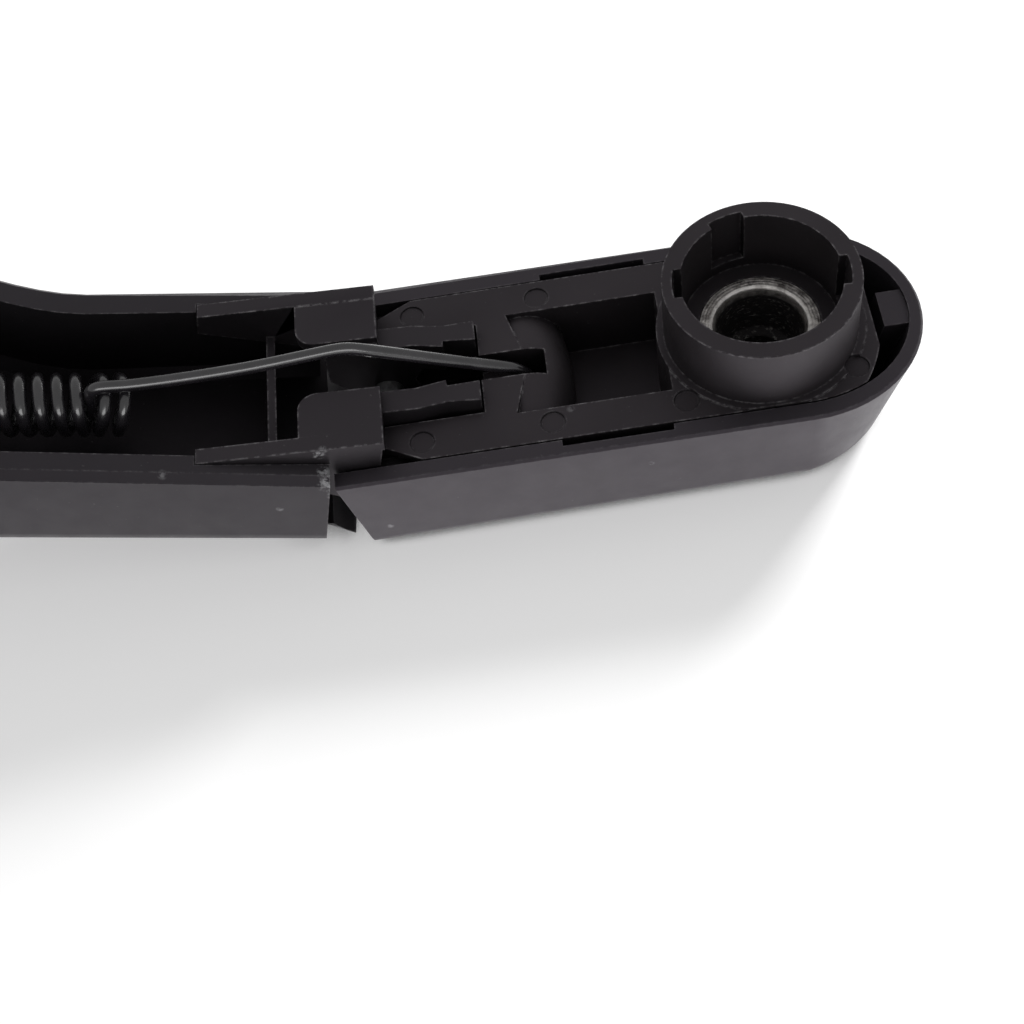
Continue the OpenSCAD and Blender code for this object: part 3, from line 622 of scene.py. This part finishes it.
def makeSpring():
    curve = bpy.data.curves.new("tensionSpring", "CURVE")
    curve.dimensions = "3D"
    for points, resolution in ((coilPath(), 3), (hookPath(), 8)):
        line = curve.splines.new("NURBS")
        line.points.add(len(points) - 1)
        for target, point in zip(line.points, points):
            target.co = (*point, 1.0)
        line.order_u = 3
        line.use_endpoint_u = True
        line.resolution_u = resolution
    curve.bevel_depth = spring["wire"] / 2 * mm
    curve.bevel_resolution = 5
    curve.use_fill_caps = True
    piece = bpy.data.objects.new("tensionSpring", curve)
    bpy.context.scene.collection.objects.link(piece)
    makeActive(piece)
    bpy.ops.object.convert(target="MESH")
    piece = bpy.context.active_object
    bpy.ops.object.shade_smooth()
    piece.data.materials.clear()
    piece.data.materials.append(wireBlack)
    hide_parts("tension_spring")
    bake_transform(piece)


makeSpring()
print("spring made")


# The floor lies just under the part and lights it more from close by than from afar, and darkens under the
# part as painted shadow
stage = {"floorDrop": 0.3, "floorSize": 6.0, "floorColour": 0.8, "floorLift": 0.35,
         "nearBounce": 1.02, "farBounce": 0.35, "nearEdge": 0.030, "farEdge": 0.090,
         "sideShift": 20, "contactReach": 0.007}
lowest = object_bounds()[0][2]


def makeFloor():
    floorHeight = lowest - stage["floorDrop"] * mm
    bpy.ops.mesh.primitive_plane_add(size=stage["floorSize"], location=(0, 0, floorHeight))
    floor = bpy.context.active_object
    floor.name = "floor"
    material = newMaterial("paleFloor")
    tree = material.node_tree
    diffuse = add(tree, "ShaderNodeBsdfDiffuse")
    # painted contact shadow: the floor's colour and its glow for the camera darken where the part closes over
    # it
    contactShadow = cavityShade(tree, stage["contactReach"], 0.15, 0.45, 0.03)
    pale = (stage["floorColour"],) * 3 + (1.0,)
    wire(tree, mixColours(tree, contactShadow, (0.01, 0.01, 0.01, 1.0), pale), diffuse.inputs["Color"])
    glow = add(tree, "ShaderNodeEmission")
    path = add(tree, "ShaderNodeLightPath")
    # painted light: the floor glows for every ray but the camera's, brightest close to the part, for the
    # white table's light on the part's sides
    coords = add(tree, "ShaderNodeTexCoord")
    split = add(tree, "ShaderNodeSeparateXYZ")
    wire(tree, coords.outputs["Object"], split.inputs["Vector"])
    away = mathNode(tree, "MAXIMUM", mathNode(tree, "ABSOLUTE", split.outputs["Y"]),
                    mathNode(tree, "ADD", split.outputs["X"], stage["sideShift"] * mm))
    bounce = ramp(tree, away, stage["nearEdge"], stage["farEdge"], stage["nearBounce"], stage["farBounce"])
    seen = path.outputs["Is Camera Ray"]
    unseen = mathNode(tree, "MULTIPLY", bounce, mathNode(tree, "SUBTRACT", 1.0, seen))
    shown = mathNode(tree, "MULTIPLY", mathNode(tree, "MULTIPLY", seen, contactShadow), stage["floorLift"])
    strength = mathNode(tree, "ADD", unseen, shown)
    wire(tree, strength, glow.inputs["Strength"])
    both = add(tree, "ShaderNodeAddShader")
    wire(tree, diffuse.outputs["BSDF"], both.inputs[0])
    wire(tree, glow.outputs["Emission"], both.inputs[1])
    output = add(tree, "ShaderNodeOutputMaterial")
    wire(tree, both.outputs["Shader"], output.inputs["Surface"])
    floor.data.materials.append(material)


def makeWorld():
    world = bpy.data.worlds.new("studio")
    bpy.context.scene.world = world
    world.use_nodes = True
    tree = world.node_tree
    tree.nodes.clear()
    coords = add(tree, "ShaderNodeTexCoord")
    split = add(tree, "ShaderNodeSeparateXYZ")
    wire(tree, coords.outputs["Generated"], split.inputs["Vector"])
    height = ramp(tree, split.outputs["Z"], 0.05, 0.60, 0.75, 0.60)
    path = add(tree, "ShaderNodeLightPath")
    strength = mathNode(tree, "MAXIMUM", height, path.outputs["Is Camera Ray"])
    background = add(tree, "ShaderNodeBackground")
    wire(tree, strength, background.inputs["Strength"])
    output = add(tree, "ShaderNodeOutputWorld")
    wire(tree, background.outputs["Background"], output.inputs["Surface"])


# The shade lamp throws the part's soft shadow; the glint lamp draws the bright line along the wire
lamps = {
    "shade": {"place": (0.536, 0.565, 0.358), "aim": (-0.05, 0, 0), "size": (0.22, 0.22), "power": 10.5,
              "only": "floor", "casters": ("coverShell", "armChannel", "hingeBracket")},
    "glint": {"place": (-0.10, -0.60, 0.30), "aim": (-0.10, 0, 0.01), "size": (0.60, 0.30), "power": 1.7,
              "only": "tensionSpring"},
}


def makeLamps():
    for name, lamp in lamps.items():
        data = bpy.data.lights.new(name, "AREA")
        data.shape = "RECTANGLE"
        data.size, data.size_y = lamp["size"]
        data.energy = lamp["power"]
        light = bpy.data.objects.new(name, data)
        light.location = lamp["place"]
        aim = Vector(lamp["aim"]) - Vector(lamp["place"])
        light.rotation_euler = aim.to_track_quat("-Z", "Y").to_euler()
        bpy.context.scene.collection.objects.link(light)
        if lamp.get("only"):
            lit = bpy.data.collections.new(name + "Lit")
            lit.objects.link(bpy.data.objects[lamp["only"]])
            light.light_linking.receiver_collection = lit
        if lamp.get("casters"):
            casting = bpy.data.collections.new(name + "Casting")
            for caster in lamp["casters"]:
                casting.objects.link(bpy.data.objects[caster])
            light.light_linking.blocker_collection = casting


# The photograph's camera, fitted to the collar, the rails and the cover
view = {"place": (-0.03057, -0.14785, 0.19423), "turn": (31.249, 6.781, -5.672), "lens": 54.443}


def makeCamera():
    data = bpy.data.cameras.new("camera")
    data.sensor_width = 36
    data.lens = view["lens"]
    data.clip_start = 0.01
    data.clip_end = 20
    camera = bpy.data.objects.new("camera", data)
    camera.location = view["place"]
    camera.rotation_euler = [math.radians(a) for a in view["turn"]]
    bpy.context.scene.collection.objects.link(camera)
    bpy.context.scene.camera = camera


makeFloor()
makeWorld()
makeLamps()
makeCamera()
bpy.context.scene.view_settings.view_transform = "Standard"
print("stage set")
